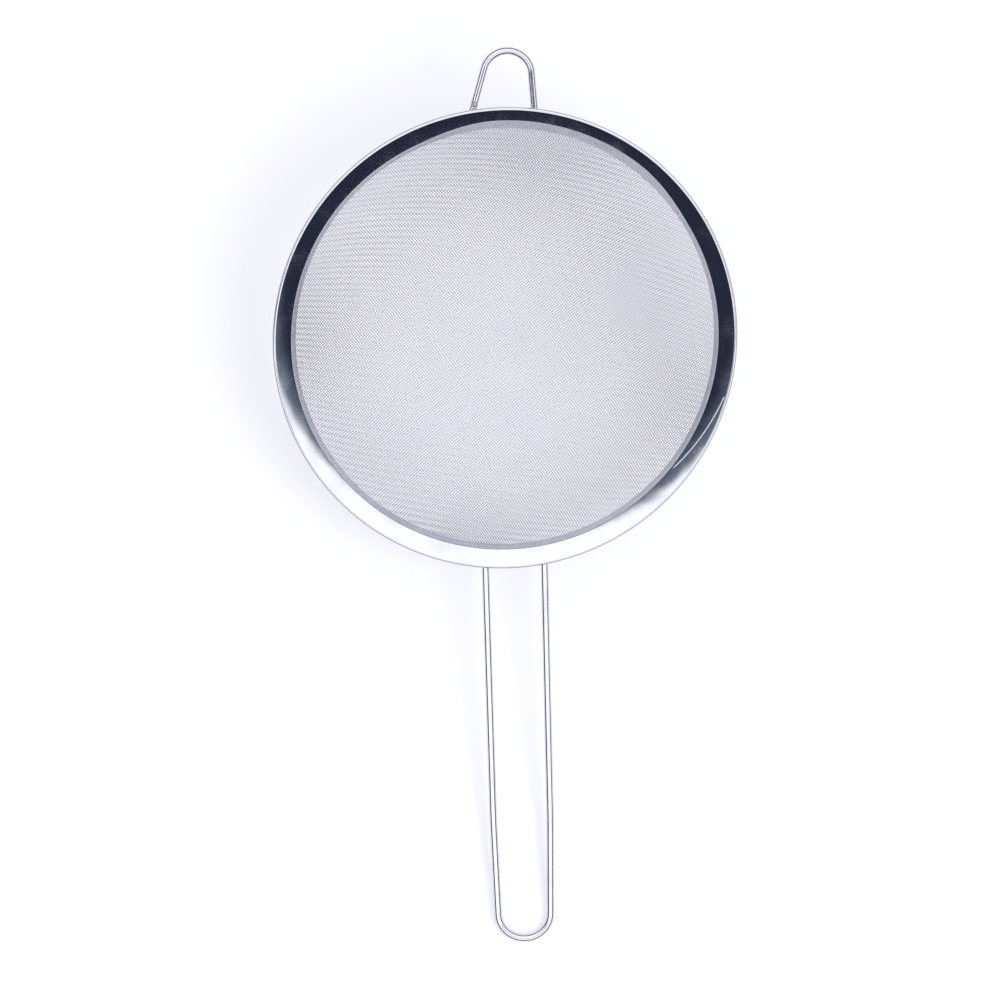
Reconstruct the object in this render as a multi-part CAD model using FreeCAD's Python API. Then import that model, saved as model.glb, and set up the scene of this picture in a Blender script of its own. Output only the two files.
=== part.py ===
import FreeCAD, Part
import math
import os

# Wire-mesh strainer: a round steel rim with a rolled lip carries a dome of woven wire cloth.
# A long looped wire is its handle and a short wire hook opposite rests on a pot or a bucket.
# It is drawn first with the rim level: lip plane at z = 0, rim axis on +Z, handle towards -Y.
# It is then tilted onto a table, where it rests on the bottom of the dome and the handle's end.

# ---- Driving dimensions, in millimetres and degrees ----

# Rim band: one strip of sheet, with a rolled lip, a shallow flange and a steep collar
LIP_RADIUS = 100.0            # outside of the rolled lip
LIP_BEAD_DIAMETER = 1.8       # the roll itself
SHEET_THICKNESS = 0.6
FLANGE_SLOPE = 36.0           # from level
FLANGE_WIDTH = 7.9            # in plan, from the lip's outside to the crease
CREASE_BEND_RADIUS = 0.4      # on the underside
COLLAR_SLOPE = 68.0           # from level
COLLAR_LENGTH = 4.2           # down the slope
CURL_END_ANGLE = -140.0       # where the roll stops, round its own centre

# Woven wire cloth, drawn into a dome; its edge is turned up outside the collar
CLOTH_WIRE_DIAMETER = 0.3
BOWL_DEPTH = 56.0             # lip to the outside of the bottom
CLOTH_EDGE_MARGIN = 0.9       # cloth edge below the crease, down the slope

# Clamp ring: a plain hoop pressed over the edge of the cloth
CLAMP_RING_THICKNESS = 0.5
CLAMP_RING_MARGIN = 1.3       # top of the ring below the crease, down the slope
CLAMP_RING_OVERHANG = 0.3     # ring below the end of the collar

# Handle: one length of wire, bent to a long loop
HANDLE_WIRE_DIAMETER = 3.4
HANDLE_REACH = 172.0          # end of the loop beyond the lip
HANDLE_ROOT_WIDTH = 26.0      # between the wires' centres at the lip
HANDLE_NECK_WIDTH = 25.4      # the same where the loop starts to narrow
HANDLE_NECK_REACH = 115.0     # that place beyond the lip
HANDLE_END_WIDTH = 23.5       # across the centres at the end bend
HANDLE_NECK_BEND_RADIUS = 400.0
HANDLE_SIDE_SHIFT = 4.8       # root of the handle off the middle line
HANDLE_LEAN = 1.6             # handle out of square with the rim

# Hook: one short length of wire
HOOK_WIRE_DIAMETER = 3.2
HOOK_REACH = 25.4             # top of the bow beyond the lip
HOOK_ROOT_WIDTH = 27.4        # between the wires' centres at the lip
HOOK_SIDE_SHIFT = -0.6        # root of the hook off the middle line
HOOK_BOW_RADIUS = 10.2        # centre line of the bow
HOOK_BOW_SHIFT = 1.4          # bow off the middle line

# How both wires meet the rim
WIRE_LIP_CLEARANCE = 0.3      # under the lip
WIRE_FLANGE_CLEARANCE = 0.05  # at least, under the flange where the wire bends down
WIRE_RING_CLEARANCE = 0.05    # off the clamp ring, filled by the welds
FOOT_LENGTH = 4.4             # end of the foot below the crease, down the slope
FOOT_BEND_RADIUS = 4.0

# Welds
WELD_RADIUS = 1.5
WELD_TOP_RADIUS = 1.2
WELD_HEIGHT = 1.0             # above the ring
WELD_PLACE = 2.9              # below the crease, down the slope
SEAM_ANGLE = -16.7            # strip's own seam, round the rim from +X
SEAM_WIDTH = 2.4
SEAM_HEIGHT = 0.35

# ---- Sizes that follow ----

COLLAR = math.radians(COLLAR_SLOPE)
FLANGE = math.radians(FLANGE_SLOPE)
BEAD_RADIUS = LIP_BEAD_DIAMETER / 2
CREASE_RADIUS = LIP_RADIUS - FLANGE_WIDTH
CLOTH_THICKNESS = 2 * CLOTH_WIRE_DIAMETER
BEAD_CENTRE = (LIP_RADIUS - BEAD_RADIUS, -BEAD_RADIUS)
FLANGE_TOP = (BEAD_CENTRE[0] - BEAD_RADIUS * math.sin(FLANGE),
              BEAD_CENTRE[1] + BEAD_RADIUS * math.cos(FLANGE))
CREASE_DEPTH = (FLANGE_TOP[0] - CREASE_RADIUS) * math.tan(FLANGE) - FLANGE_TOP[1]
CLOTH_LINE = SHEET_THICKNESS + CLOTH_THICKNESS / 2
RING_FACE = SHEET_THICKNESS + CLOTH_THICKNESS + CLAMP_RING_THICKNESS


def on_collar(slope_distance, depth):
    """Radius and height of a point down the collar's slope and out through its thickness."""
    radius = CREASE_RADIUS - slope_distance * math.cos(COLLAR) + depth * math.sin(COLLAR)
    height = -CREASE_DEPTH - slope_distance * math.sin(COLLAR) - depth * math.cos(COLLAR)
    return radius, height


# The dome is part of a ball: it leaves the clamp ring's end and reaches the bowl's depth.
DOME_EDGE_RADIUS, DOME_EDGE_HEIGHT = on_collar(COLLAR_LENGTH + CLAMP_RING_OVERHANG, CLOTH_LINE)
DOME_RISE = BOWL_DEPTH - CLOTH_THICKNESS / 2 + DOME_EDGE_HEIGHT
BALL_RADIUS = (DOME_EDGE_RADIUS ** 2 + DOME_RISE ** 2) / (2 * DOME_RISE)
BALL_HEIGHT = BALL_RADIUS - BOWL_DEPTH + CLOTH_THICKNESS / 2


def wire_height(wire_diameter):
    """Height of a level wire's centre: under the lip, with its foot's bend clear of the flange."""
    under_lip = -LIP_BEAD_DIAMETER - WIRE_LIP_CLEARANCE - wire_diameter / 2
    # The bend's centre lies on a line beside the collar; the flange's underside is a line above it.
    beside = RING_FACE + WIRE_RING_CLEARANCE + wire_diameter / 2 + FOOT_BEND_RADIUS
    centre_radius, centre_height = on_collar(0, beside)
    centre_start = centre_radius - centre_height / math.tan(COLLAR)
    flange_start = FLANGE_TOP[1] - FLANGE_TOP[0] * math.tan(FLANGE) - SHEET_THICKNESS / math.cos(FLANGE)
    reach = (FOOT_BEND_RADIUS + wire_diameter / 2 + WIRE_FLANGE_CLEARANCE) / math.cos(FLANGE)
    gap = flange_start + centre_start * math.tan(FLANGE) - reach
    under_flange = gap / (1 - math.tan(FLANGE) / math.tan(COLLAR)) + FOOT_BEND_RADIUS
    return min(under_lip, under_flange)


def tilt_at_rest():
    """Angle at which the dome's bottom and the handle's end both touch the table."""
    end_distance = LIP_RADIUS + HANDLE_REACH - HANDLE_WIRE_DIAMETER / 2
    drop = BALL_HEIGHT - wire_height(HANDLE_WIRE_DIAMETER)
    ball_over_end = BALL_RADIUS + CLOTH_THICKNESS / 2 - HANDLE_WIRE_DIAMETER / 2
    return math.atan2(end_distance, drop) - math.acos(ball_over_end / math.hypot(end_distance, drop))


def resting_place():
    """Placement from the level rim to the table, over the middle of the object's length."""
    tilt = tilt_at_rest()
    rise = BALL_RADIUS + CLOTH_THICKNESS / 2 - BALL_HEIGHT * math.cos(tilt)
    handle_radius = HANDLE_WIRE_DIAMETER / 2
    hook_radius = HOOK_WIRE_DIAMETER / 2
    handle_end = -(LIP_RADIUS + HANDLE_REACH - handle_radius) * math.cos(tilt)
    handle_end -= wire_height(HANDLE_WIRE_DIAMETER) * math.sin(tilt) + handle_radius
    hook_end = (LIP_RADIUS + HOOK_REACH - hook_radius) * math.cos(tilt)
    hook_end -= wire_height(HOOK_WIRE_DIAMETER) * math.sin(tilt) - hook_radius
    middle = (handle_end + hook_end) / 2
    turn = FreeCAD.Rotation(FreeCAD.Vector(1, 0, 0), math.degrees(tilt))
    return FreeCAD.Placement(FreeCAD.Vector(0, -middle, rise), turn)


# ---- Drawing helpers ----

def in_section(point):
    """A point of a half section, given as radius and height."""
    return FreeCAD.Vector(point[0], 0, point[1])


def arc_through(start, middle, end):
    return Part.Arc(start, middle, end).toShape()


def rounded_path(points, radii):
    """Straight runs through the points, joined by tangent arcs; radii are for the inner points."""
    edges = []
    start = points[0]
    for before, corner, after, radius in zip(points, points[1:], points[2:], radii):
        arriving = (corner - before).normalize()
        leaving = (after - corner).normalize()
        half_turn = arriving.getAngle(leaving) / 2
        if radius <= 0 or half_turn < 1e-6:
            edges.append(Part.LineSegment(start, corner).toShape())
            start = corner
            continue
        reach = radius * math.tan(half_turn)
        arc_start = corner - arriving * reach
        arc_end = corner + leaving * reach
        to_centre = (leaving - arriving).normalize()
        middle = corner + to_centre * (radius / math.cos(half_turn) - radius)
        edges.append(Part.LineSegment(start, arc_start).toShape())
        edges.append(arc_through(arc_start, middle, arc_end))
        start = arc_end
    edges.append(Part.LineSegment(start, points[-1]).toShape())
    return edges


def turned(edges):
    """Solid of revolution about the rim's axis from a closed half section."""
    section = Part.Face(Part.Wire(Part.__sortEdges__(edges)))
    solid = section.revolve(FreeCAD.Vector(0, 0, 0), FreeCAD.Vector(0, 0, 1), 360)
    return Part.makeSolid(solid.Shells[0]) if solid.ShapeType != "Solid" else solid


def bent_wire(edges, diameter):
    """Round wire swept along a path of tangent lines and arcs."""
    path = Part.Wire(edges)
    start = edges[0].valueAt(edges[0].FirstParameter)
    direction = edges[0].tangentAt(edges[0].FirstParameter)
    section = Part.Wire(Part.Circle(start, direction, diameter / 2).toShape())
    return path.makePipeShell([section], True, False)


def around_rim(side, angle, radius, height):
    """A point at an angle from the handle's side (-1) or the hook's side (+1) of the rim."""
    return FreeCAD.Vector(radius * math.sin(angle), side * radius * math.cos(angle), height)


# ---- Rim, cloth and clamp ring ----

def rim_band():
    curl_end = math.radians(CURL_END_ANGLE)
    curl_start = math.pi / 2 + FLANGE
    curl_middle = (curl_start + curl_end) / 2
    inner = BEAD_RADIUS - SHEET_THICKNESS
    crease_setback = SHEET_THICKNESS * math.tan((COLLAR - FLANGE) / 2)

    def on_curl(radius, angle):
        return in_section((BEAD_CENTRE[0] + radius * math.cos(angle),
                           BEAD_CENTRE[1] + radius * math.sin(angle)))

    edges = [arc_through(on_curl(BEAD_RADIUS, curl_start), on_curl(BEAD_RADIUS, curl_middle),
                         on_curl(BEAD_RADIUS, curl_end))]
    edges.append(Part.LineSegment(on_curl(BEAD_RADIUS, curl_end), on_curl(inner, curl_end)).toShape())
    edges.append(arc_through(on_curl(inner, curl_end), on_curl(inner, curl_middle),
                             on_curl(inner, curl_start)))
    corners = [on_curl(inner, curl_start),
               in_section(on_collar(crease_setback, SHEET_THICKNESS)),
               in_section(on_collar(COLLAR_LENGTH, SHEET_THICKNESS)),
               in_section(on_collar(COLLAR_LENGTH, 0)),
               in_section(on_collar(0, 0)),
               on_curl(BEAD_RADIUS, curl_start)]
    edges += rounded_path(corners, [CREASE_BEND_RADIUS, 0, 0, CREASE_BEND_RADIUS + SHEET_THICKNESS])
    return turned(edges)


def ball_angle_at_collar(ball_radius, depth):
    """Angle up from the ball's bottom at which a ball meets a line along the collar."""
    radius, height = on_collar(0, depth)
    below_centre = BALL_HEIGHT - height
    along = below_centre * math.sin(COLLAR) - radius * math.cos(COLLAR)
    slope_distance = math.sqrt(along ** 2 + ball_radius ** 2 - radius ** 2 - below_centre ** 2) - along
    radius, height = on_collar(slope_distance, depth)
    return math.atan2(radius, BALL_HEIGHT - height)


def mesh_bowl():
    """The woven cloth as a closed skin, two wires thick."""

    def on_ball(radius, angle):
        return in_section((radius * math.sin(angle), BALL_HEIGHT - radius * math.cos(angle)))

    def face(depth, ball_radius):
        """One face of the skin: the arc of the dome and the line up the collar."""
        angle = ball_angle_at_collar(ball_radius, depth)
        bottom = on_ball(ball_radius, 0)
        edge = on_ball(ball_radius, angle)
        top = in_section(on_collar(CLOTH_EDGE_MARGIN, depth))
        arc = arc_through(bottom, on_ball(ball_radius, angle / 2), edge)
        return bottom, top, [arc, Part.LineSegment(edge, top).toShape()]

    half = CLOTH_THICKNESS / 2
    inner_bottom, inner_top, inner_face = face(CLOTH_LINE - half, BALL_RADIUS - half)
    outer_bottom, outer_top, outer_face = face(CLOTH_LINE + half, BALL_RADIUS + half)
    ends = [Part.LineSegment(inner_bottom, outer_bottom).toShape(),
            Part.LineSegment(inner_top, outer_top).toShape()]
    return turned(inner_face + outer_face + ends)


def clamp_ring():
    inside = SHEET_THICKNESS + CLOTH_THICKNESS
    corners = [on_collar(CLAMP_RING_MARGIN, inside), on_collar(CLAMP_RING_MARGIN, RING_FACE),
               on_collar(COLLAR_LENGTH + CLAMP_RING_OVERHANG, RING_FACE),
               on_collar(COLLAR_LENGTH + CLAMP_RING_OVERHANG, inside)]
    points = [in_section(corner) for corner in corners]
    return turned(rounded_path(points + points[:1], [0, 0, 0]))


# ---- Handle and hook ----

def foot_section(wire_diameter):
    """Foot's end and its bend, in the rim's half section: along the clamp ring, then level."""
    depth = RING_FACE + WIRE_RING_CLEARANCE + wire_diameter / 2
    end = on_collar(FOOT_LENGTH, depth)
    top = wire_height(wire_diameter)
    bend_radius = end[0] + (top - end[1]) / math.tan(COLLAR)
    return end, (bend_radius, top)


def foot_points(side, sideways, wire_diameter):
    """The same two points in space, for a wire that meets the rim off its middle line."""
    end, bend = foot_section(wire_diameter)
    angle = math.asin(sideways / bend[0])
    return around_rim(side, angle, end[0], end[1]), around_rim(side, angle, bend[0], bend[1])


def tangent_point(start, centre, radius, turn):
    """Where a line from start touches a level circle; turn is +1 or -1 for either side."""
    across = centre - start
    distance = across.Length
    along = math.sqrt(distance ** 2 - radius ** 2)
    direction = across.normalize()
    sideways = FreeCAD.Vector(-direction.y, direction.x, 0) * turn
    return start + direction * (along ** 2 / distance) + sideways * (along * radius / distance)


def looped_wire(left_legs, right_legs, centre, radius, side, foot_radii, diameter):
    """Two legs, given from foot to last straight point, joined by one round bend."""
    left_touch = tangent_point(left_legs[-1], centre, radius, side)
    right_touch = tangent_point(right_legs[-1], centre, radius, -side)
    crown = centre + FreeCAD.Vector(0, side * radius, 0)
    edges = rounded_path(left_legs + [left_touch], foot_radii)
    edges.append(arc_through(left_touch, crown, right_touch))
    right_edges = rounded_path([right_touch] + right_legs[::-1], foot_radii[::-1])
    return bent_wire(edges + right_edges, diameter)


def handle_wire():
    lean = math.tan(math.radians(HANDLE_LEAN))
    level = wire_height(HANDLE_WIRE_DIAMETER)
    end_radius = HANDLE_END_WIDTH / 2

    def leg(sign):
        root = HANDLE_SIDE_SHIFT + sign * HANDLE_ROOT_WIDTH / 2
        foot, bend = foot_points(-1, root, HANDLE_WIRE_DIAMETER)
        neck_side = HANDLE_SIDE_SHIFT + HANDLE_NECK_REACH * lean + sign * HANDLE_NECK_WIDTH / 2
        neck = FreeCAD.Vector(neck_side, -LIP_RADIUS - HANDLE_NECK_REACH, level)
        return [foot, bend, neck]

    centre_reach = HANDLE_REACH - HANDLE_WIRE_DIAMETER / 2 - end_radius
    centre = FreeCAD.Vector(HANDLE_SIDE_SHIFT + centre_reach * lean, -LIP_RADIUS - centre_reach, level)
    radii = [FOOT_BEND_RADIUS, HANDLE_NECK_BEND_RADIUS]
    return looped_wire(leg(-1), leg(1), centre, end_radius, -1, radii, HANDLE_WIRE_DIAMETER)


def hook_wire():
    level = wire_height(HOOK_WIRE_DIAMETER)
    centre_reach = HOOK_REACH - HOOK_WIRE_DIAMETER / 2 - HOOK_BOW_RADIUS
    centre = FreeCAD.Vector(HOOK_BOW_SHIFT, LIP_RADIUS + centre_reach, level)
    left = list(foot_points(1, HOOK_SIDE_SHIFT - HOOK_ROOT_WIDTH / 2, HOOK_WIRE_DIAMETER))
    right = list(foot_points(1, HOOK_SIDE_SHIFT + HOOK_ROOT_WIDTH / 2, HOOK_WIRE_DIAMETER))
    return looped_wire(left, right, centre, HOOK_BOW_RADIUS, 1, [FOOT_BEND_RADIUS], HOOK_WIRE_DIAMETER)


# ---- Welds ----

def foot_weld(side, sideways, wire_diameter, wire, ring):
    """Weld metal pressed out round one foot, between the wire and the clamp ring."""
    angle = math.asin(sideways / foot_section(wire_diameter)[1][0])
    inside = SHEET_THICKNESS + CLOTH_THICKNESS + CLAMP_RING_THICKNESS / 2
    base = on_collar(WELD_PLACE, inside)
    top = on_collar(WELD_PLACE, RING_FACE + WELD_HEIGHT)
    start = around_rim(side, angle, base[0], base[1])
    end = around_rim(side, angle, top[0], top[1])
    axis = end - start
    button = Part.makeCone(WELD_RADIUS, WELD_TOP_RADIUS, axis.Length, start, axis)
    return button.cut(ring).cut(wire).Solids[0]


def rim_seam_weld():
    """Flat seam where the ends of the rim's strip meet, on the underside of the flange."""
    lip_end = LIP_RADIUS - LIP_BEAD_DIAMETER
    crease_end = on_collar(0, SHEET_THICKNESS)[0] + CREASE_BEND_RADIUS

    def under_flange(radius, depth):
        drop = (FLANGE_TOP[0] - radius) * math.tan(FLANGE) + depth / math.cos(FLANGE)
        return in_section((radius, FLANGE_TOP[1] - drop))

    outline = [under_flange(lip_end, SHEET_THICKNESS), under_flange(crease_end, SHEET_THICKNESS),
               under_flange(crease_end, SHEET_THICKNESS + SEAM_HEIGHT),
               under_flange(lip_end, SHEET_THICKNESS + SEAM_HEIGHT)]
    section = Part.Face(Part.makePolygon(outline + outline[:1]))
    spread = math.degrees(SEAM_WIDTH / LIP_RADIUS)
    section.rotate(FreeCAD.Vector(0, 0, 0), FreeCAD.Vector(0, 0, 1), SEAM_ANGLE - spread / 2)
    return section.revolve(FreeCAD.Vector(0, 0, 0), FreeCAD.Vector(0, 0, 1), spread)


# ---- Assembly ----

def assembly():
    nodes = {"rim_band": rim_band(), "mesh_bowl": mesh_bowl(), "clamp_ring": clamp_ring(),
             "handle_wire": handle_wire(), "hook_wire": hook_wire(), "rim_seam_weld": rim_seam_weld()}
    for name, sign in (("left", -1), ("right", 1)):
        handle_root = HANDLE_SIDE_SHIFT + sign * HANDLE_ROOT_WIDTH / 2
        hook_root = HOOK_SIDE_SHIFT + sign * HOOK_ROOT_WIDTH / 2
        nodes["handle_weld_" + name] = foot_weld(-1, handle_root, HANDLE_WIRE_DIAMETER,
                                                 nodes["handle_wire"], nodes["clamp_ring"])
        nodes["hook_weld_" + name] = foot_weld(1, hook_root, HOOK_WIRE_DIAMETER,
                                               nodes["hook_wire"], nodes["clamp_ring"])
    return nodes


os.makedirs("parts", exist_ok=True)
place = resting_place()
for name, shape in assembly().items():
    shape.Placement = place.multiply(shape.Placement)
    shape.exportStep("parts/" + name + ".step")
    print(name, shape.ShapeType, len(shape.Solids), shape.isValid(), round(shape.Volume, 1))
print("tilt", round(math.degrees(tilt_at_rest()), 3), "ball radius", round(BALL_RADIUS, 2))
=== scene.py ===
import math

import bpy
import numpy as np
from mathutils import Matrix, Vector


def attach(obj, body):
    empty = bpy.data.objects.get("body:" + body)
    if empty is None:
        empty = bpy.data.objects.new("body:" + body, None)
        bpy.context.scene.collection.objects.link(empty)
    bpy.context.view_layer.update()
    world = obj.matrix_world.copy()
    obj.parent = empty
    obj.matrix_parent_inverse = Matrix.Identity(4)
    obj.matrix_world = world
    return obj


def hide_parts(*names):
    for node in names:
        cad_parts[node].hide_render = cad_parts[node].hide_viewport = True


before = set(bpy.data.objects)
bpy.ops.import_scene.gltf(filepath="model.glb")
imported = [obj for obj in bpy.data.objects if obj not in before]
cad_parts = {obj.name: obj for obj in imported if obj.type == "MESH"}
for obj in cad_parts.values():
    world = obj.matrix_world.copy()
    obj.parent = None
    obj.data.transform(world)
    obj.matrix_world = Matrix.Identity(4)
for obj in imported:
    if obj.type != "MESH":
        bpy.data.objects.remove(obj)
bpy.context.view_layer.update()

# Wire-mesh strainer. Everything is drawn first with the rim level, lip plane at z = 0, rim axis on +Z
# and handle towards -Y, and is then laid on the table as the rim band lies in the frame.

# ---- Sizes, in metres ----

MM = 0.001

# Rim band
BEAD_RADIUS = 0.9 * MM
SHEET = 0.6 * MM
FLANGE = math.radians(36.0)         # slope from level
FLANGE_WIDTH = 7.9 * MM             # in plan, from the lip's outside to the crease
CREASE_BEND = 0.7 * MM              # middle of the sheet
COLLAR = math.radians(68.0)
COLLAR_LENGTH = 4.2 * MM
CURL_END = math.radians(-140.0)
ROUND_STEPS = 512

# Woven cloth
CLOTH_WIRE = 0.3 * MM
CLOTH_PITCH = 1.06 * MM
CLOTH_TURN = math.radians(36.4)     # first set of wires, from +X
CLOTH_EDGE_MARGIN = 0.9 * MM
CLOTH_WIRE_SIDES = 6
CLOTH_SHORTEST_END = 0.15           # share of a pitch; a shorter cut end is left off
CLOTH_BUNDLES = [-1.0, -0.4, 0.0, 0.4, 1.0]     # where each set of wires is divided, across the net
BOWL_DEPTH = 56.0 * MM

# Clamp ring
RING_SHEET = 0.5 * MM
RING_MARGIN = 1.3 * MM
RING_OVERHANG = 0.3 * MM
RING_ROUNDING = 0.12 * MM

# Handle and hook
HANDLE_WIRE = 3.4 * MM
HANDLE_REACH = 172.0 * MM
HANDLE_ROOT = 26.0 * MM
HANDLE_NECK = 25.4 * MM
HANDLE_NECK_REACH = 115.0 * MM
HANDLE_END = 23.5 * MM
HANDLE_NECK_BEND = 400.0 * MM
HANDLE_SHIFT = 4.8 * MM
HANDLE_LEAN = math.radians(1.6)
HOOK_WIRE = 3.2 * MM
HOOK_REACH = 25.4 * MM
HOOK_ROOT = 27.4 * MM
HOOK_SHIFT = -0.6 * MM
HOOK_BOW = 10.2 * MM
HOOK_BOW_SHIFT = 1.4 * MM
LIP_GAP = 0.3 * MM
RING_GAP = 0.05 * MM
FOOT_LENGTH = 4.4 * MM
FOOT_BEND = 4.0 * MM

# Welds
WELD_RADIUS = 1.5 * MM
WELD_HEIGHT = 1.0 * MM
WELD_PLACE = 2.9 * MM
WELD_TOP_SHARE = 0.86                   # of the button's width, at its top
WELD_LAND_SHARE = 0.35                  # of its radius, round the pressed-in middle
WELD_DIMPLE = 0.25 * MM
WELD_ROUNDING = 0.3 * MM
SEAM_ANGLE = math.radians(-16.7)
SEAM_WIDTH = 2.4 * MM
SEAM_HEIGHT = 0.35 * MM
SEAM_ROUNDING = 0.1 * MM
SEAM_CREASE_GAP = 0.4 * MM
SEAM_EDGE_START = math.radians(-14.0)   # where the strip's cut end leaves the lip
SEAM_EDGE_END = math.radians(-37.5)     # where it reaches the crease
SEAM_EDGE_WIDTH = 0.55 * MM
BLOB_RADIUS = 1.3 * MM                  # drop of weld metal on the hook's left leg
BLOB_PLACE = Vector((-12.4, 101.2, -2.7)) * MM

# The rim as it was bent by hand and by welding: not quite round, and pushed out behind the hook
OVAL = 0.83 * MM
OVAL_OFFSET = 0.60 * MM
OVAL_WAY = math.radians(45.0)
OVAL_FROM = 0.6                         # shares of the lip's radius: where the bending begins to tell,
OVAL_LAST = 1.02                        # how far out it is whole,
OVAL_GONE = 1.3                         # and where it has faded on the wires
BULGE = 1.9 * MM
BULGE_WAY = math.radians(72.5)
BULGE_SPREAD = math.radians(42.0)
BULGE_FLAT = 0.45                       # share of the spread that is pushed out evenly
BULGE_LIP = 0.985                       # share of the lip's radius where nothing is pushed any more

# Table, light and camera
TABLE_SIZE = 6.0
LAMP_WAY = Vector((0.40, -0.15, 1.0))
LAMP_DISTANCE = 1.7
LAMP_SIZE = 0.75
LAMP_POWER = 8.0
CAMERA_PLACE = (-1.68 * MM, 3.6 * MM, 1259 * MM)
CAMERA_LENS = 100.65
CAMERA_SENSOR = 36.0
CAMERA_REACH = 20

# The room that the metal mirrors, in parts of a direction from -1 to 1
CEILING_EDGE = 0.53                     # height where the white ceiling begins
CEILING_SLANT = -0.055                  # how much lower it begins towards +X
BEAM_PLACE = -0.215                     # middle of the dark beam along Y


def rim_place():
    """Matrix from the level rim to the table, and the lip's radius, from the rim band in the frame."""
    points = np.array([v.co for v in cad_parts["rim_band"].data.vertices])
    axis = np.linalg.svd(points - points.mean(0), full_matrices=False)[2][2]
    turn = Matrix.Rotation(math.atan2(-axis[1] / axis[2], 1.0), 4, "X")
    level = points @ np.array(turn.to_3x3())
    middle = (level.max(0) + level.min(0)) / 2
    centre = turn @ Vector((middle[0], middle[1], level[:, 2].max()))
    radius = np.hypot(level[:, 0] - middle[0], level[:, 1] - middle[1]).max()
    return Matrix.Translation(centre) @ turn, float(radius)


PLACE, LIP_RADIUS = rim_place()
CREASE_RADIUS = LIP_RADIUS - FLANGE_WIDTH
FLANGE_TOP = (LIP_RADIUS - BEAD_RADIUS - BEAD_RADIUS * math.sin(FLANGE),
              -BEAD_RADIUS + BEAD_RADIUS * math.cos(FLANGE))
CREASE_DEPTH = (FLANGE_TOP[0] - CREASE_RADIUS) * math.tan(FLANGE) - FLANGE_TOP[1]
CLOTH_LINE = SHEET + CLOTH_WIRE
RING_FACE = SHEET + 2 * CLOTH_WIRE + RING_SHEET


def on_collar(slope_distance, depth):
    """Radius and height of a point down the collar's slope and out through its thickness."""
    radius = CREASE_RADIUS - slope_distance * math.cos(COLLAR) + depth * math.sin(COLLAR)
    height = -CREASE_DEPTH - slope_distance * math.sin(COLLAR) - depth * math.cos(COLLAR)
    return radius, height


DOME_EDGE_RADIUS, DOME_EDGE_HEIGHT = on_collar(COLLAR_LENGTH + RING_OVERHANG, CLOTH_LINE)
DOME_RISE = BOWL_DEPTH - CLOTH_WIRE + DOME_EDGE_HEIGHT
BALL_RADIUS = (DOME_EDGE_RADIUS ** 2 + DOME_RISE ** 2) / (2 * DOME_RISE)
BALL_CENTRE = Vector((0, 0, BALL_RADIUS - BOWL_DEPTH + CLOTH_WIRE))


# ---- Drawing by hand: a vertex that is extruded along runs and spun round bends ----

def start_at(name, point):
    """A new piece that is one vertex, selected in edit mode."""
    bpy.ops.object.select_all(action="DESELECT")
    bpy.ops.mesh.primitive_plane_add(size=MM)
    piece = bpy.context.object
    piece.name = piece.data.name = name
    bpy.ops.object.mode_set(mode="EDIT")
    bpy.ops.mesh.select_all(action="SELECT")
    bpy.ops.mesh.merge(type="CENTER")
    bpy.ops.transform.translate(value=point)
    return piece


def run(start, end):
    bpy.ops.mesh.extrude_region_move(TRANSFORM_OT_translate={"value": end - start})
    return end


def bend(point, centre, axis, angle, steps):
    """Carries the end vertex round a centre, anticlockwise about the axis, and says where it got to."""
    bpy.ops.mesh.spin(steps=steps, angle=-angle, center=centre, axis=axis)
    return centre + Matrix.Rotation(angle, 3, axis) @ (point - centre)


def draw(name, corners, radii, steps):
    """Straight runs through the corners with a round bend at each inner one."""
    piece = start_at(name, corners[0])
    here = corners[0]
    for corner, after, radius in zip(corners[1:], corners[2:], radii):
        arriving = (corner - here).normalized()
        leaving = (after - corner).normalized()
        turn = arriving.angle(leaving)
        if radius <= 0 or turn < 1e-5:
            here = run(here, corner)
            continue
        here = run(here, corner - arriving * radius * math.tan(turn / 2))
        axis = arriving.cross(leaving).normalized()
        centre = here + axis.cross(arriving) * radius
        here = bend(here, centre, axis, turn, steps)
    run(here, corners[-1])
    bpy.ops.object.mode_set(mode="OBJECT")
    return piece


def only(piece):
    bpy.ops.object.select_all(action="DESELECT")
    piece.select_set(True)
    bpy.context.view_layer.objects.active = piece


def outwards(piece):
    """Merges what meets and points all faces outwards."""
    only(piece)
    bpy.ops.object.mode_set(mode="EDIT")
    bpy.ops.mesh.select_all(action="SELECT")
    bpy.ops.mesh.remove_doubles(threshold=MM / 1000)
    bpy.ops.mesh.normals_make_consistent(inside=False)
    bpy.ops.object.mode_set(mode="OBJECT")


def apply(piece, kind, **settings):
    only(piece)
    modifier = piece.modifiers.new(kind.title(), kind)
    for key, value in settings.items():
        setattr(modifier, key, value)
    bpy.ops.object.modifier_apply(modifier=modifier.name)


def turned(piece, start, sweep, steps):
    """Spins a half section round the rim's axis, from an angle."""
    only(piece)
    piece.rotation_euler.z = start
    bpy.ops.object.transform_apply(location=True, rotation=True, scale=True)
    bpy.ops.object.mode_set(mode="EDIT")
    bpy.ops.mesh.select_all(action="SELECT")
    bpy.ops.mesh.spin(steps=steps, angle=-sweep, center=(0, 0, 0), axis=(0, 0, 1))
    bpy.ops.object.mode_set(mode="OBJECT")
    outwards(piece)


def rise(value, low, high):
    """Smooth step from 0 to 1."""
    share = np.clip((value - low) / (high - low), 0, 1)
    return share * share * (3 - 2 * share)


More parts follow.
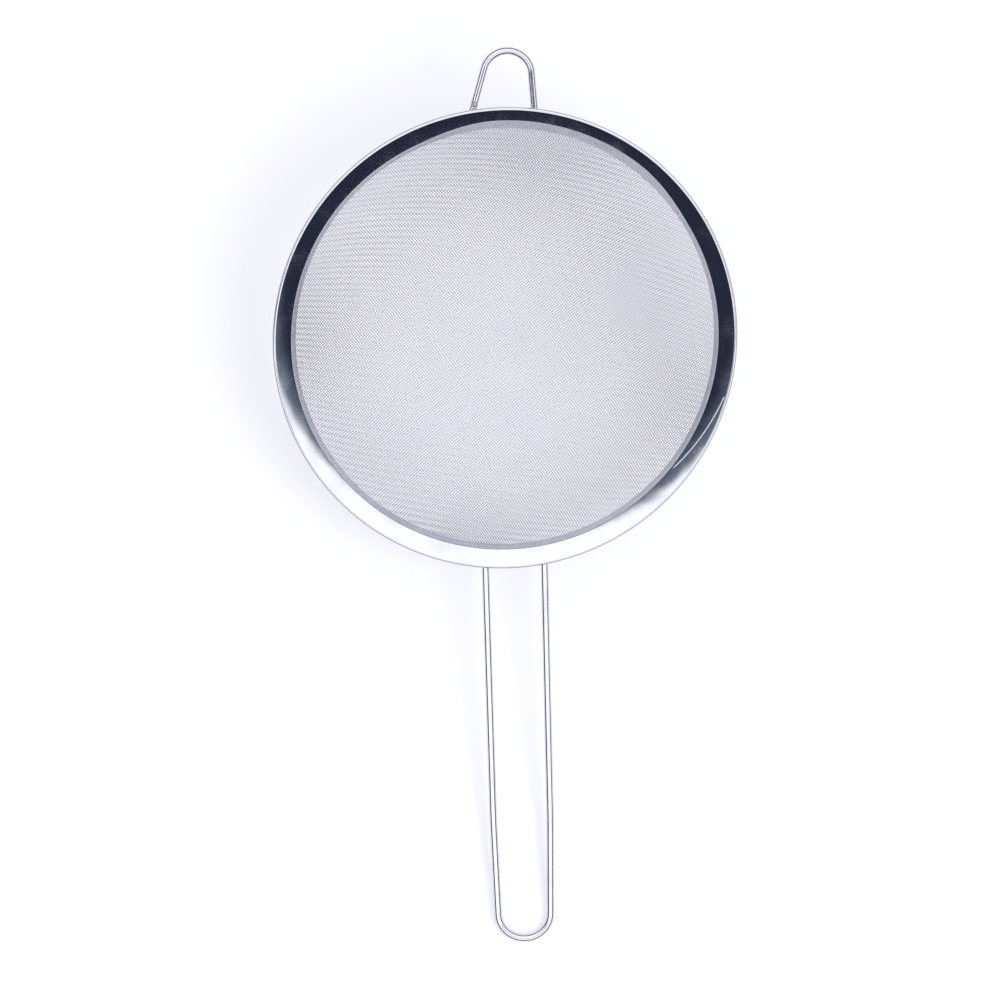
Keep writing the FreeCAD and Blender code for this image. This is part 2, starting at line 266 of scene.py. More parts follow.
def bent_out_of_round(piece):
    """Moves a level piece in or out with the rim, so that everything at the rim stays together."""
    places = np.empty(len(piece.data.vertices) * 3, np.float32)
    piece.data.vertices.foreach_get("co", places)
    places = places.reshape(-1, 3)
    radius = np.hypot(places[:, 0], places[:, 1])
    around = np.arctan2(places[:, 1], places[:, 0])
    oval = OVAL_OFFSET * np.cos(around - OVAL_WAY) + OVAL * np.cos(2 * (around - OVAL_WAY))
    drawn = rise(radius, OVAL_FROM * LIP_RADIUS, LIP_RADIUS)
    oval *= drawn - rise(radius, OVAL_LAST * LIP_RADIUS, OVAL_GONE * LIP_RADIUS)
    aside = np.abs((around - BULGE_WAY + math.pi) % (2 * math.pi) - math.pi)
    bulge = BULGE * (1 - rise(aside, BULGE_FLAT * BULGE_SPREAD, BULGE_SPREAD))
    pushed = rise(radius, CREASE_RADIUS - BULGE, CREASE_RADIUS)
    bulge *= pushed - rise(radius, CREASE_RADIUS, BULGE_LIP * LIP_RADIUS)
    places[:, :2] *= (1 + (oval + bulge) / np.maximum(radius, MM))[:, None]
    places[:, 2] += bulge * math.tan(FLANGE)
    piece.data.vertices.foreach_set("co", places.ravel())
    piece.data.update()


def lay_down(piece, material, smooth_angle=math.radians(40)):
    """Puts a finished piece on the table, smooths it and gives it its finish."""
    bent_out_of_round(piece)
    only(piece)
    piece.matrix_world = PLACE
    bpy.ops.object.transform_apply(location=True, rotation=True, scale=True)
    if smooth_angle:
        bpy.ops.object.shade_smooth_by_angle(angle=smooth_angle)
    else:
        bpy.ops.object.shade_smooth()
    piece.data.materials.clear()
    piece.data.materials.append(material)
    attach(piece, "root")
    return piece


def section(point):
    """A point of a half section, given as radius and height."""
    return Vector((point[0], 0, point[1]))


# ---- Nodes ----

def add(tree, kind, inputs=(), **settings):
    """A new node with its settings; an input is a value or the socket that feeds it."""
    new = tree.nodes.new(kind)
    for key, value in settings.items():
        setattr(new, key, value)
    for key, value in dict(inputs).items():
        if isinstance(value, bpy.types.NodeSocket):
            tree.links.new(value, new.inputs[key])
        else:
            new.inputs[key].default_value = value
    return new


def maths(tree, operation, a, b=0.0, c=0.0):
    return add(tree, "ShaderNodeMath", {0: a, 1: b, 2: c}, operation=operation).outputs[0]


def noise(tree, vector, scale, detail=2.0, roughness=0.5):
    inputs = {"Vector": vector, "Scale": scale, "Detail": detail, "Roughness": roughness}
    return add(tree, "ShaderNodeTexNoise", inputs).outputs["Fac"]


def between(tree, value, low, high, out_low=0.0, out_high=1.0):
    inputs = {"Value": value, "From Min": low, "From Max": high, "To Min": out_low, "To Max": out_high}
    return add(tree, "ShaderNodeMapRange", inputs, interpolation_type="SMOOTHSTEP").outputs[0]


def mixed(tree, share, a, b):
    node = add(tree, "ShaderNodeMix", data_type="RGBA")
    for socket, value in ((node.inputs[0], share), (node.inputs[6], a), (node.inputs[7], b)):
        if isinstance(value, bpy.types.NodeSocket):
            tree.links.new(value, socket)
        else:
            socket.default_value = value
    return node.outputs[2]


def group(name, inputs, outputs):
    """An empty node group with float inputs (a Vector where its value is None) and its outputs."""
    tree = bpy.data.node_groups.new(name, "ShaderNodeTree")
    for key, value in inputs.items():
        kind = "NodeSocketVector" if value is None else "NodeSocketFloat"
        socket = tree.interface.new_socket(name=key, in_out="INPUT", socket_type=kind)
        if value is not None:
            socket.default_value = value
    for key, kind in outputs.items():
        tree.interface.new_socket(name=key, in_out="OUTPUT", socket_type=kind)
    return tree, tree.nodes.new("NodeGroupInput").outputs, tree.nodes.new("NodeGroupOutput")


def rim_polar_group():
    """Level rim coordinates: the way round as a unit circle, the radius and the height."""
    tree, given, out = group("rim_coordinates", {"Vector": None}, {"Around": "NodeSocketVector",
                             "Radius": "NodeSocketFloat", "Height": "NodeSocketFloat"})
    level = add(tree, "ShaderNodeMapping", {"Vector": given["Vector"], "Location": PLACE.translation,
                "Rotation": PLACE.to_euler()}, vector_type="TEXTURE").outputs[0]
    flat = add(tree, "ShaderNodeVectorMath", {0: level, 1: (1, 1, 0)}, operation="MULTIPLY").outputs[0]
    radius = add(tree, "ShaderNodeVectorMath", {0: flat}, operation="LENGTH").outputs["Value"]
    around = add(tree, "ShaderNodeVectorMath", {0: flat}, operation="NORMALIZE").outputs[0]
    height = add(tree, "ShaderNodeSeparateXYZ", {0: level}).outputs["Z"]
    tree.links.new(around, out.inputs["Around"])
    tree.links.new(radius, out.inputs["Radius"])
    tree.links.new(height, out.inputs["Height"])
    return tree


def grain_group():
    """Fine polishing lines and a few deeper scratches; they run the way that Vector changes least."""
    tree, given, out = group("polishing_grain", {"Vector": None, "Lines": 1.0, "Scratches": 0.3},
                             {"Height": "NodeSocketFloat", "Mask": "NodeSocketFloat"})
    lines = noise(tree, given["Vector"], 1.0, 3.0, 0.65)
    coarse = noise(tree, given["Vector"], 0.22, 2.0, 0.5)
    scratch = between(tree, coarse, 0.62, 0.72)
    height = maths(tree, "MULTIPLY", lines, given["Lines"])
    deep = maths(tree, "MULTIPLY", scratch, given["Scratches"])
    tree.links.new(maths(tree, "SUBTRACT", height, deep), out.inputs["Height"])
    tree.links.new(between(tree, lines, 0.3, 0.7), out.inputs["Mask"])
    return tree


def handling_group():
    """Cloudy marks left by handling and cleaning."""
    tree, given, out = group("handling_marks", {"Vector": None, "Size": 60.0},
                             {"Mask": "NodeSocketFloat"})
    clouds = noise(tree, given["Vector"], given["Size"], 4.0, 0.6)
    specks = noise(tree, given["Vector"], maths(tree, "MULTIPLY", given["Size"], 14.0), 1.0)
    mask = maths(tree, "ADD", between(tree, clouds, 0.42, 0.75),
                 maths(tree, "MULTIPLY", between(tree, specks, 0.68, 0.78), 0.5))
    tree.links.new(mask, out.inputs["Mask"])
    return tree


RIM_COORDINATES = rim_polar_group()
GRAIN = grain_group()
HANDLING = handling_group()


def placed(tree, shared, inputs):
    new = tree.nodes.new("ShaderNodeGroup")
    new.node_tree = shared
    for key, value in inputs.items():
        if isinstance(value, bpy.types.NodeSocket):
            tree.links.new(value, new.inputs[key])
        else:
            new.inputs[key].default_value = value
    return new.outputs


def metal(name, **values):
    """A metal's material with its shader; constants are set on the shader's own sockets."""
    material = bpy.data.materials.new(name)
    material.use_nodes = True
    tree = material.node_tree
    shader = tree.nodes["Principled BSDF"]
    shader.inputs["Metallic"].default_value = 1.0
    for key, value in values.items():
        shader.inputs[key.replace("_", " ")].default_value = value
    return material, tree, shader, tree.nodes.new("ShaderNodeTexCoord").outputs["Object"]


def roughened(tree, shader, mask, low, high):
    tree.links.new(between(tree, mask, 0.0, 1.0, low, high), shader.inputs["Roughness"])


def bumped(tree, shader, height, distance, strength=1.0):
    bump = add(tree, "ShaderNodeBump", {"Height": height, "Distance": distance, "Strength": strength})
    tree.links.new(bump.outputs[0], shader.inputs["Normal"])


def rim_steel():
    """Polished steel strip: fine grain across the flange, slow ripples round it, faint marks."""
    material, tree, shader, own = metal("polished_rim_steel")
    rim = placed(tree, RIM_COORDINATES, {"Vector": own})
    radius = add(tree, "ShaderNodeCombineXYZ", {"Z": rim["Radius"]}).outputs[0]
    around = add(tree, "ShaderNodeVectorMath", {0: rim["Around"], 1: (LIP_RADIUS, LIP_RADIUS, 1)},
                 operation="MULTIPLY").outputs[0]
    place = add(tree, "ShaderNodeVectorMath", {0: around, 1: radius}, operation="ADD").outputs[0]
    fine = add(tree, "ShaderNodeMapping", {"Vector": place, "Scale": (5000, 5000, 350)}).outputs[0]
    grain = placed(tree, GRAIN, {"Vector": fine, "Lines": 1.0, "Scratches": 0.4})
    marks = placed(tree, HANDLING, {"Vector": own, "Size": 70.0})
    ripples = noise(tree, place, 55.0, 2.0, 0.4)
    wide = noise(tree, place, 16.0, 1.0, 0.4)
    waves = maths(tree, "ADD", maths(tree, "MULTIPLY", ripples, 0.16 * MM),
                  maths(tree, "MULTIPLY", wide, 0.5 * MM))
    height = maths(tree, "MULTIPLY_ADD", grain["Height"], 0.0016 * MM, waves)
    bumped(tree, shader, height, 1.0)
    shade = maths(tree, "MULTIPLY", marks["Mask"], 0.5)
    tree.links.new(mixed(tree, shade, (0.70, 0.71, 0.74, 1), (0.60, 0.61, 0.65, 1)),
                   shader.inputs["Base Color"])
    rough = maths(tree, "MULTIPLY_ADD", grain["Mask"], 0.35, maths(tree, "MULTIPLY", marks["Mask"], 0.4))
    roughened(tree, shader, rough, 0.07, 0.26)
    return material


def ring_steel():
    """Plain pressed strip: duller, with lines round it."""
    material, tree, shader, own = metal("clamp_ring_steel")
    rim = placed(tree, RIM_COORDINATES, {"Vector": own})
    upright = add(tree, "ShaderNodeCombineXYZ", {"Z": rim["Height"]}).outputs[0]
    place = add(tree, "ShaderNodeVectorMath", {0: rim["Around"], 1: upright}, operation="ADD").outputs[0]
    lines = add(tree, "ShaderNodeMapping", {"Vector": place, "Scale": (4, 4, 6000)}).outputs[0]
    grain = placed(tree, GRAIN, {"Vector": lines, "Lines": 1.0, "Scratches": 0.6})
    marks = placed(tree, HANDLING, {"Vector": own, "Size": 90.0})
    bumped(tree, shader, grain["Height"], 0.004 * MM)
    tree.links.new(mixed(tree, marks["Mask"], (0.62, 0.62, 0.64, 1), (0.48, 0.48, 0.51, 1)),
                   shader.inputs["Base Color"])
    roughened(tree, shader, grain["Mask"], 0.2, 0.38)
    return material


def drawn_wire():
    """Bright drawn wire with faint lines along it."""
    material, tree, shader, own = metal("bright_drawn_wire")
    lines = add(tree, "ShaderNodeMapping", {"Vector": own, "Scale": (3500, 60, 3500)}).outputs[0]
    grain = placed(tree, GRAIN, {"Vector": lines, "Lines": 1.0, "Scratches": 0.5})
    marks = placed(tree, HANDLING, {"Vector": own, "Size": 55.0})
    bumped(tree, shader, grain["Height"], 0.0012 * MM)
    shade = maths(tree, "MULTIPLY", marks["Mask"], 0.5)
    tree.links.new(mixed(tree, shade, (0.72, 0.72, 0.75, 1), (0.58, 0.58, 0.62, 1)),
                   shader.inputs["Base Color"])
    rough = maths(tree, "MULTIPLY_ADD", grain["Mask"], 0.4, maths(tree, "MULTIPLY", marks["Mask"], 0.4))
    roughened(tree, shader, rough, 0.08, 0.28)
    return material


def cloth_steel():
    """Thin annealed wire of the cloth, a little uneven in tone from wire to wire."""
    material, tree, shader, own = metal("woven_cloth_wire")
    marks = placed(tree, HANDLING, {"Vector": own, "Size": 38.0})
    fine = noise(tree, own, 900.0, 1.0)
    shade = maths(tree, "MULTIPLY_ADD", marks["Mask"], 0.12, maths(tree, "MULTIPLY", fine, 0.4))
    tree.links.new(mixed(tree, shade, (0.76, 0.76, 0.81, 1), (0.57, 0.57, 0.62, 1)),
                   shader.inputs["Base Color"])
    roughened(tree, shader, fine, 0.10, 0.22)
    return material


def weld_steel():
    """Weld metal: dull, pitted, tinted straw and blue by heat."""
    material, tree, shader, own = metal("heat_tinted_weld")
    tint = noise(tree, own, 420.0, 2.0)
    pits = noise(tree, own, 2600.0, 3.0, 0.6)
    marks = placed(tree, HANDLING, {"Vector": own, "Size": 300.0})
    warm = mixed(tree, between(tree, tint, 0.35, 0.65), (0.54, 0.53, 0.53, 1), (0.47, 0.43, 0.39, 1))
    blue = maths(tree, "MULTIPLY", between(tree, tint, 0.58, 0.72), 0.8)
    tree.links.new(mixed(tree, blue, warm, (0.34, 0.36, 0.42, 1)), shader.inputs["Base Color"])
    bumped(tree, shader, pits, 0.05 * MM)
    roughened(tree, shader, marks["Mask"], 0.3, 0.55)
    return material


POLISHED = rim_steel()
RING = ring_steel()
WIRE = drawn_wire()
CLOTH = cloth_steel()
WELD = weld_steel()


# ---- Rim band and clamp ring ----

def rim_band():
    """Half section along the middle of the sheet, from the collar's end to the curl's end."""
    half = SHEET / 2
    setback = half * math.tan((COLLAR - FLANGE) / 2)
    end = section(on_collar(COLLAR_LENGTH, half))
    crease = section(on_collar(setback, half))
    bead_centre = section((LIP_RADIUS - BEAD_RADIUS, -BEAD_RADIUS))
    curl_start = math.pi / 2 + FLANGE
    curl_radius = BEAD_RADIUS - half
    lip = bead_centre + curl_radius * Vector((math.cos(curl_start), 0, math.sin(curl_start)))
    piece = draw("rim_strip", [end, crease, lip], [CREASE_BEND], 6)
    only(piece)
    bpy.ops.object.mode_set(mode="EDIT")
    bend(lip, bead_centre, Vector((0, 1, 0)), curl_start - CURL_END, 24)
    bpy.ops.object.mode_set(mode="OBJECT")
    turned(piece, 0, 2 * math.pi, ROUND_STEPS)
    apply(piece, "SOLIDIFY", thickness=SHEET, offset=0, use_even_offset=True)
    lay_down(piece, POLISHED)
    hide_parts("rim_band")


def clamp_ring():
    inside = SHEET + 2 * CLOTH_WIRE + RING_SHEET / 2
    top = section(on_collar(RING_MARGIN, inside))
    end = section(on_collar(COLLAR_LENGTH + RING_OVERHANG, inside))
    piece = draw("clamp_hoop", [top, end], [], 1)
    turned(piece, 0, 2 * math.pi, ROUND_STEPS // 2)
    apply(piece, "SOLIDIFY", thickness=RING_SHEET, offset=0, use_even_offset=True)
    apply(piece, "BEVEL", width=RING_ROUNDING, segments=2, limit_method="ANGLE",
          angle_limit=math.radians(60))
    lay_down(piece, RING)
    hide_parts("clamp_ring")


# ---- Handle and hook ----

def around_rim(side, angle, radius, height):
    return Vector((radius * math.sin(angle), side * radius * math.cos(angle), height))


def wire_height(diameter):
    return -2 * BEAD_RADIUS - LIP_GAP - diameter / 2


def foot_section(diameter):
    end = on_collar(FOOT_LENGTH, RING_FACE + RING_GAP + diameter / 2)
    top = wire_height(diameter)
    return end, (end[0] + (top - end[1]) / math.tan(COLLAR), top)


def foot_points(side, sideways, diameter):
    end, knee = foot_section(diameter)
    angle = math.asin(sideways / knee[0])
    return [around_rim(side, angle, *end), around_rim(side, angle, *knee)]


def legs_meet(left, right, centre, radius, side):
    """Where the two legs' tangents to the end bend would meet, as that bend's corner."""
    lines = []
    for point, turn in ((left, side), (right, -side)):
        across = centre - point
        distance = across.length
        along = math.sqrt(distance ** 2 - radius ** 2)
        way = across.normalized()
        aside = Vector((-way.y, way.x, 0)) * turn
        lines.append((point, (way * along / distance + aside * radius / distance).normalized()))
    (a, u), (b, v) = lines
    reach = (b - a).cross(v).z / u.cross(v).z
    return a + u * reach


def wire(name, path, radii, steps, diameter):
    """A round wire along a drawn path."""
    piece = draw(name, path, radii, steps)
    only(piece)
    bpy.ops.object.convert(target="CURVE")
    piece = bpy.context.object
    piece.data.bevel_depth = diameter / 2
    piece.data.bevel_resolution = 8
    piece.data.use_fill_caps = True
    bpy.ops.object.convert(target="MESH")
    piece = bpy.context.object
    outwards(piece)
    return piece


def handle():
    level = wire_height(HANDLE_WIRE)
    lean = math.tan(HANDLE_LEAN)
    radius = HANDLE_END / 2
    legs = []
    for sign in (-1, 1):
        foot = foot_points(-1, HANDLE_SHIFT + sign * HANDLE_ROOT / 2, HANDLE_WIRE)
        neck = HANDLE_SHIFT + HANDLE_NECK_REACH * lean + sign * HANDLE_NECK / 2
        legs.append(foot + [Vector((neck, -LIP_RADIUS - HANDLE_NECK_REACH, level))])
    reach = HANDLE_REACH - HANDLE_WIRE / 2 - radius
    centre = Vector((HANDLE_SHIFT + reach * lean, -LIP_RADIUS - reach, level))
    meet = legs_meet(legs[0][-1], legs[1][-1], centre, radius, -1)
    path = legs[0] + [meet] + legs[1][::-1]
    radii = [FOOT_BEND, HANDLE_NECK_BEND, radius, HANDLE_NECK_BEND, FOOT_BEND]
    piece = wire("handle_loop", path, radii, 40, HANDLE_WIRE)
    lay_down(piece, WIRE, None)
    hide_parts("handle_wire")


def hook():
    level = wire_height(HOOK_WIRE)
    left = foot_points(1, HOOK_SHIFT - HOOK_ROOT / 2, HOOK_WIRE)
    right = foot_points(1, HOOK_SHIFT + HOOK_ROOT / 2, HOOK_WIRE)
    centre = Vector((HOOK_BOW_SHIFT, LIP_RADIUS + HOOK_REACH - HOOK_WIRE / 2 - HOOK_BOW, level))
    meet = legs_meet(left[-1], right[-1], centre, HOOK_BOW, 1)
    piece = wire("rest_hook", left + [meet] + right[::-1], [FOOT_BEND, HOOK_BOW, FOOT_BEND], 40,
                 HOOK_WIRE)
    lay_down(piece, WIRE, None)
    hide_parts("hook_wire")


# ---- Welds ----

def foot_weld(name, side, sideways, diameter):
    """A button of weld metal pressed out round a foot: a rounded stub with a pressed-in top."""
    angle = math.asin(sideways / foot_section(diameter)[1][0])
    base = around_rim(side, angle, *on_collar(WELD_PLACE, RING_FACE - RING_SHEET / 2))
    top = around_rim(side, angle, *on_collar(WELD_PLACE, RING_FACE + WELD_HEIGHT))
    height = (top - base).length
    bpy.ops.object.select_all(action="DESELECT")
    bpy.ops.mesh.primitive_cylinder_add(vertices=40, radius=WELD_RADIUS, depth=height,
                                        location=(0, 0, height / 2))
    piece = bpy.context.object
    piece.name = piece.data.name = name + "_button"
    bpy.ops.object.mode_set(mode="EDIT")
    bpy.ops.mesh.select_all(action="DESELECT")
    bpy.ops.object.mode_set(mode="OBJECT")
    for polygon in piece.data.polygons:
        polygon.select = polygon.normal.z > 0.9
    bpy.ops.object.mode_set(mode="EDIT")
    bpy.ops.transform.resize(value=(WELD_TOP_SHARE, WELD_TOP_SHARE, 1))
    bpy.ops.mesh.inset(thickness=WELD_RADIUS * WELD_LAND_SHARE)
    bpy.ops.transform.translate(value=(0, 0, -WELD_DIMPLE))
    bpy.ops.object.mode_set(mode="OBJECT")
    apply(piece, "BEVEL", width=WELD_ROUNDING, segments=4, limit_method="ANGLE",
          angle_limit=math.radians(25))
    turn = (top - base).to_track_quat("Z", "Y").to_matrix().to_4x4()
    piece.matrix_world = Matrix.Translation(base) @ turn
    only(piece)
    bpy.ops.object.transform_apply(location=True, rotation=True, scale=True)
    outwards(piece)
    lay_down(piece, WELD)
    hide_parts(name)


def seam_weld():
    """The strip's own seam under the flange, a low flat ridge."""
    lip_end = LIP_RADIUS - 2 * BEAD_RADIUS
    crease_end = on_collar(0, SHEET)[0] + SEAM_CREASE_GAP

    def under(radius, depth):
        drop = (FLANGE_TOP[0] - radius) * math.tan(FLANGE) + depth / math.cos(FLANGE)
        return section((radius, FLANGE_TOP[1] - drop))

    corners = [under(lip_end, SHEET), under(crease_end, SHEET), under(crease_end, SHEET + SEAM_HEIGHT),
               under(lip_end, SHEET + SEAM_HEIGHT)]
    piece = draw("seam_ridge", corners + corners[:1], [0, 0, 0], 1)
    outwards(piece)
    only(piece)
    bpy.ops.object.mode_set(mode="EDIT")
    bpy.ops.mesh.select_all(action="SELECT")
    bpy.ops.mesh.edge_face_add()
    bpy.ops.object.mode_set(mode="OBJECT")
    spread = SEAM_WIDTH / LIP_RADIUS
    turned(piece, SEAM_ANGLE - spread / 2, spread, 8)
    apply(piece, "BEVEL", width=SEAM_ROUNDING, segments=3, limit_method="ANGLE",
          angle_limit=math.radians(40))
    lay_down(piece, WELD)
    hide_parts("rim_seam_weld")


def seam_edge():
    """The strip's cut end, which shows on the flange as a fine raised line from the lip to the crease."""
    start_radius = FLANGE_TOP[0] - SEAM_EDGE_WIDTH
    path = []
    for share in np.linspace(0, 1, 25):
        angle = SEAM_EDGE_START + (SEAM_EDGE_END - SEAM_EDGE_START) * share
        radius = start_radius + (CREASE_RADIUS + CREASE_BEND - start_radius) * share
        height = FLANGE_TOP[1] - (FLANGE_TOP[0] - radius) * math.tan(FLANGE)
        path.append(Vector((radius * math.cos(angle), radius * math.sin(angle), height)))
    piece = wire("seam_edge", path, [0] * (len(path) - 2), 1, SEAM_EDGE_WIDTH)
    lay_down(piece, POLISHED, None)


def hook_blob():
    """A round drop of weld metal between the hook's left leg and the lip."""
    bpy.ops.object.select_all(action="DESELECT")
    bpy.ops.mesh.primitive_uv_sphere_add(segments=40, ring_count=24, radius=BLOB_RADIUS,
                                         location=BLOB_PLACE)
    piece = bpy.context.object
    piece.name = piece.data.name = "hook_weld_drop"
    bpy.ops.object.transform_apply(location=True, rotation=True, scale=True)
    lay_down(piece, WELD, None)


# ---- Woven cloth ----

def cloth_net():
    """Wire crossings as directions from the ball's centre: a square net laid on the ball, with every
    wire at full length between crossings, so that the squares close up towards its corners."""
    step = CLOTH_PITCH / BALL_RADIUS
    count = int(CLOTH_REACH / step) + 8
    net = np.zeros((2 * count + 1, 2 * count + 1, 3))
    ways = [np.array((math.cos(CLOTH_TURN + k), math.sin(CLOTH_TURN + k), 0)) for k in (0, -math.pi / 2)]
    down = np.array((0.0, 0.0, -1.0))
    for k in range(-count, count + 1):
        net[count + k, count] = down * math.cos(k * step) + ways[0] * math.sin(k * step)
        net[count, count + k] = down * math.cos(k * step) + ways[1] * math.sin(k * step)
    for a in (-1, 1):
        for b in (-1, 1):
            for i in range(1, count + 1):
                for j in range(1, count + 1):
                    u, v = net[count + a * i, count + b * (j - 1)], net[count + a * (i - 1), count + b * j]
                    back = net[count + a * (i - 1), count + b * (j - 1)]
                    across = np.cross(u, v)
                    across /= math.sqrt(across @ across)
                    net[count + a * i, count + b * j] = back - 2 * (back @ across) * across
    return net, count


CLOTH_ANGLE = math.asin(DOME_EDGE_RADIUS / BALL_RADIUS)       # dome's edge, from the bottom
CLOTH_REACH = CLOTH_ANGLE + (COLLAR_LENGTH + RING_OVERHANG - CLOTH_EDGE_MARGIN) / BALL_RADIUS


def on_cloth(way):
    """Places and upward normals of net directions, on the dome or up the collar."""
    slope = np.arccos(np.clip(-way[:, 2], -1, 1))
    flat = way[:, :2] / np.maximum(np.hypot(way[:, 0], way[:, 1]), 1e-9)[:, None]
    past = np.maximum(slope - CLOTH_ANGLE, 0) * BALL_RADIUS
    radius = DOME_EDGE_RADIUS + past * math.cos(COLLAR)
    height = DOME_EDGE_HEIGHT + past * math.sin(COLLAR)
    collar = np.concatenate([flat * radius[:, None], height[:, None]], 1)
    collar_up = np.concatenate([-flat * math.sin(COLLAR), np.full((len(way), 1), math.cos(COLLAR))], 1)
    dome = np.array(BALL_CENTRE) + BALL_RADIUS * way
    upper = (past > 0)[:, None]
    return np.where(upper, collar, dome), np.where(upper, collar_up, -way)


def one_wire(ways, over):
    """Centre line of one wire with its ends cut at the cloth's edge, and the surface normals."""
    slope = np.arccos(np.clip(-ways[:, 2], -1, 1))
    inside = np.flatnonzero(slope <= CLOTH_REACH)
    if len(inside) < 3:
        return None
    first, last = inside[0], inside[-1]
    line, side = list(ways[first:last + 1]), list(over[first:last + 1])
    for at, beyond, leading in ((first, first - 1, True), (last, last + 1, False)):
        share = (CLOTH_REACH - slope[at]) / (slope[beyond] - slope[at])
        if share > CLOTH_SHORTEST_END:
            cut = ways[at] * (1 - share) + ways[beyond] * share
            place = 0 if leading else len(line)
            line.insert(place, cut / np.linalg.norm(cut))
            side.insert(place, over[at] * (1 - share) + over[beyond] * share)
    centre, up = on_cloth(np.array(line))
    return centre + up * (np.array(side) * CLOTH_WIRE / 2)[:, None], up


def wires_mesh(name, wires):
    """All wires of a bundle as thin closed tubes, each with its own strip of the bundle's UV map."""
    around = np.arange(CLOTH_WIRE_SIDES) * 2 * math.pi / CLOTH_WIRE_SIDES
    places, faces, maps = [], [], []
    base = 0
    longest = max(len(line) for line, up in wires)
    for number, (line, up) in enumerate(wires):
        along = np.gradient(line, axis=0)
        along /= np.linalg.norm(along, axis=1)[:, None]
        across = np.cross(along, up)
        across /= np.linalg.norm(across, axis=1)[:, None]
        above = np.cross(across, along)
        rings = line[:, None] + CLOTH_WIRE / 2 * (np.cos(around)[None, :, None] * above[:, None]
                                                  + np.sin(around)[None, :, None] * across[:, None])
        places.append(rings.reshape(-1, 3))
        size = len(line)
        for k in range(size - 1):
            for s in range(CLOTH_WIRE_SIDES):
                t = (s + 1) % CLOTH_WIRE_SIDES
                row = base + k * CLOTH_WIRE_SIDES
                faces.append((row + s, row + t, row + CLOTH_WIRE_SIDES + t, row + CLOTH_WIRE_SIDES + s))
                low, high = (number + s / 7) / len(wires), (number + (s + 1) / 7) / len(wires)
                left, right = k / longest, (k + 1) / longest
                maps += [left, low, left, high, right, high, right, low]
        for ring, order in ((0, -1), (size - 1, 1)):
            row = base + ring * CLOTH_WIRE_SIDES
            faces.append([row + s for s in range(CLOTH_WIRE_SIDES)][::order])
            maps += [ring / longest, (number + 0.5) / len(wires)] * CLOTH_WIRE_SIDES
        base += size * CLOTH_WIRE_SIDES
    mesh = bpy.data.meshes.new(name)
    mesh.from_pydata(np.concatenate(places).tolist(), [], faces)
    mesh.uv_layers.new(name="OFBake").data.foreach_set("uv", np.array(maps, np.float32))
    piece = bpy.data.objects.new(name, mesh)
    bpy.context.scene.collection.objects.link(piece)
    return piece


def woven_cloth():
    """Twill: each wire passes over two and under two, one step further on from wire to wire."""
    net, count = cloth_net()
    index = np.arange(-count, count + 1)
    over = np.where((index[:, None] - index[None, :]) % 4 < 2, 1.0, -1.0)
    for family, lines, sides in (("warp", net, over), ("weft", net.transpose(1, 0, 2), -over.T)):
        for part in range(len(CLOTH_BUNDLES) - 1):
            low, high = (round(cut * count) for cut in CLOTH_BUNDLES[part:part + 2])
            last = part == len(CLOTH_BUNDLES) - 2
            chosen = range(count + low, count + high + last)
            wires = [found for k in chosen if (found := one_wire(lines[k], sides[k])) is not None]
            piece = wires_mesh(f"cloth_{family}_{part + 1}", wires)
            lay_down(piece, CLOTH, None)
    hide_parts("mesh_bowl")


# ---- Table, light and camera ----

def table():
    bpy.ops.object.select_all(action="DESELECT")
    bpy.ops.mesh.primitive_plane_add(size=TABLE_SIZE)
    floor = bpy.context.object
    floor.name = "table"
    material = bpy.data.materials.new("pale_table")
    material.use_nodes = True
    shader = material.node_tree.nodes["Principled BSDF"]
    shader.inputs["Base Color"].default_value = (0.60, 0.60, 0.62, 1)
    shader.inputs["Roughness"].default_value = 0.9
    shader.inputs["Specular IOR Level"].default_value = 0.0
    shader.inputs["Emission Color"].default_value = (0.93, 0.94, 1.0, 1)
    shader.inputs["Emission Strength"].default_value = 0.44
    floor.data.materials.append(material)


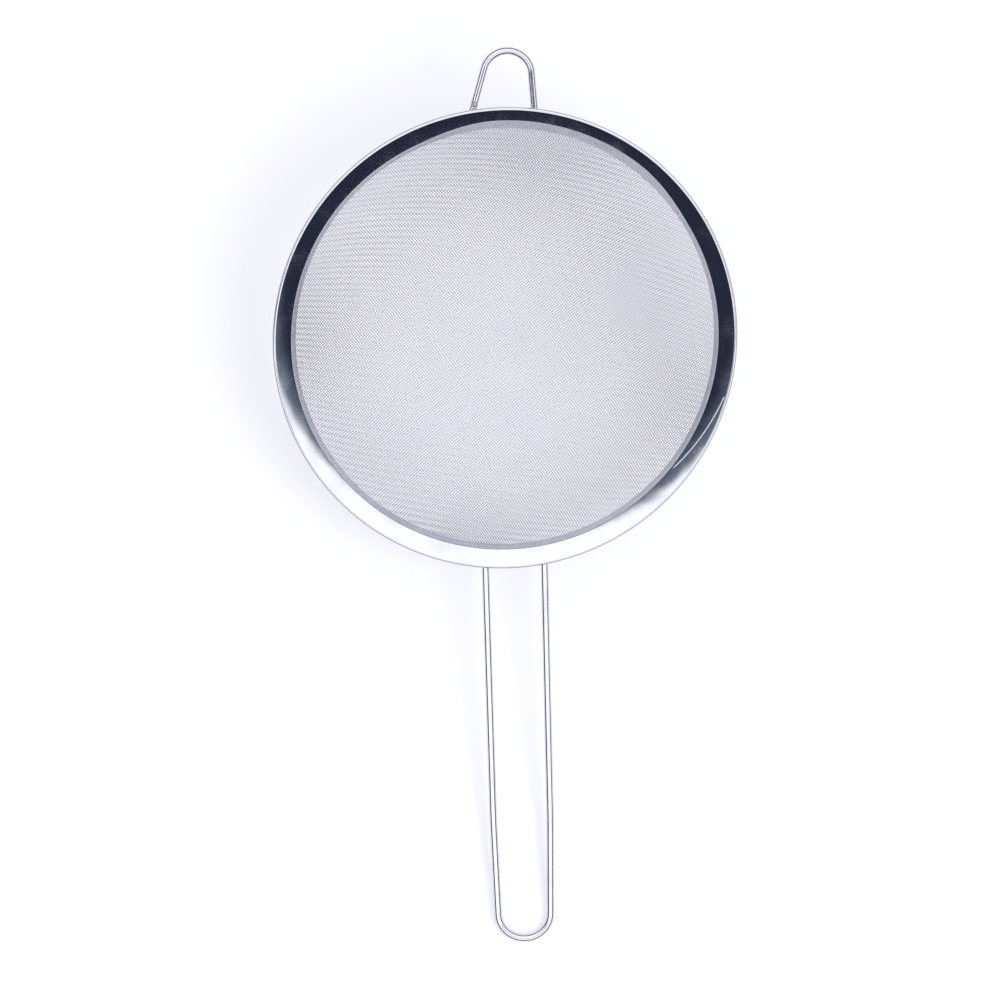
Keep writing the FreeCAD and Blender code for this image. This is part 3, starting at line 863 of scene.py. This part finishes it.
def surroundings():
    """Pale to look at and as soft light; the metal mirrors a dark room and a white ceiling with one
    dark beam."""
    world = bpy.data.worlds.new("studio")
    bpy.context.scene.world = world
    world.use_nodes = True
    tree = world.node_tree
    tree.nodes.clear()
    way = add(tree, "ShaderNodeSeparateXYZ",
              {0: tree.nodes.new("ShaderNodeTexCoord").outputs["Generated"]}).outputs
    edge = maths(tree, "MULTIPLY_ADD", way["X"], CEILING_SLANT, CEILING_EDGE)
    low = maths(tree, "SUBTRACT", way["Z"], edge)
    haze = between(tree, low, -0.17, -0.02)
    ceiling = between(tree, low, -0.025, 0.04)
    room = mixed(tree, haze, (0.022, 0.026, 0.052, 1), (0.16, 0.18, 0.25, 1))
    room = mixed(tree, ceiling, room, (1.42, 1.44, 1.50, 1))
    ahead = maths(tree, "ABSOLUTE", maths(tree, "ADD", way["Y"], -BEAM_PLACE))
    beam = maths(tree, "MULTIPLY", between(tree, ahead, 0.10, 0.065), between(tree, way["X"], 0.62, 0.45))
    beam = maths(tree, "MULTIPLY", beam, between(tree, way["Z"], 0.66, 0.74))
    room = mixed(tree, beam, room, (0.10, 0.11, 0.15, 1))
    path = tree.nodes.new("ShaderNodeLightPath").outputs
    shine = add(tree, "ShaderNodeBackground", {"Color": room, "Strength": 1.0}).outputs[0]
    soft = add(tree, "ShaderNodeBackground", {"Color": (0.86, 0.87, 0.92, 1), "Strength": 0.95}).outputs[0]
    seen = add(tree, "ShaderNodeBackground", {"Color": (0.93, 0.94, 0.98, 1), "Strength": 1.0}).outputs[0]
    mix = add(tree, "ShaderNodeMixShader", {0: path["Is Glossy Ray"], 1: soft, 2: shine}).outputs[0]
    mix = add(tree, "ShaderNodeMixShader", {0: path["Is Camera Ray"], 1: mix, 2: seen}).outputs[0]
    add(tree, "ShaderNodeOutputWorld", {"Surface": mix})


def softbox():
    """One broad lamp, high on the right."""
    way = LAMP_WAY.normalized()
    bpy.ops.object.light_add(type="AREA", location=way * LAMP_DISTANCE)
    lamp = bpy.context.object
    lamp.name = "softbox"
    lamp.rotation_euler = way.to_track_quat("Z", "Y").to_euler()
    lamp.data.shape = "DISK"
    lamp.data.size = LAMP_SIZE
    lamp.data.energy = LAMP_POWER
    lamp.data.color = (1.0, 0.99, 0.97)
    lamp.visible_glossy = False


def camera():
    """Straight above, a little off the middle, handle towards the bottom of the view."""
    bpy.ops.object.camera_add(location=CAMERA_PLACE, rotation=(0, 0, 0))
    view = bpy.context.object
    view.data.sensor_width = CAMERA_SENSOR
    view.data.lens = CAMERA_LENS
    view.data.clip_end = CAMERA_REACH
    bpy.context.scene.camera = view
    bpy.context.scene.view_settings.view_transform = "Standard"


rim_band()
clamp_ring()
handle()
hook()
for name, side, sideways, diameter in (
        ("handle_weld_left", -1, HANDLE_SHIFT - HANDLE_ROOT / 2, HANDLE_WIRE),
        ("handle_weld_right", -1, HANDLE_SHIFT + HANDLE_ROOT / 2, HANDLE_WIRE),
        ("hook_weld_left", 1, HOOK_SHIFT - HOOK_ROOT / 2, HOOK_WIRE),
        ("hook_weld_right", 1, HOOK_SHIFT + HOOK_ROOT / 2, HOOK_WIRE)):
    foot_weld(name, side, sideways, diameter)
seam_weld()
seam_edge()
hook_blob()
woven_cloth()
table()
surroundings()
softbox()
camera()

bpy.context.view_layer.update()
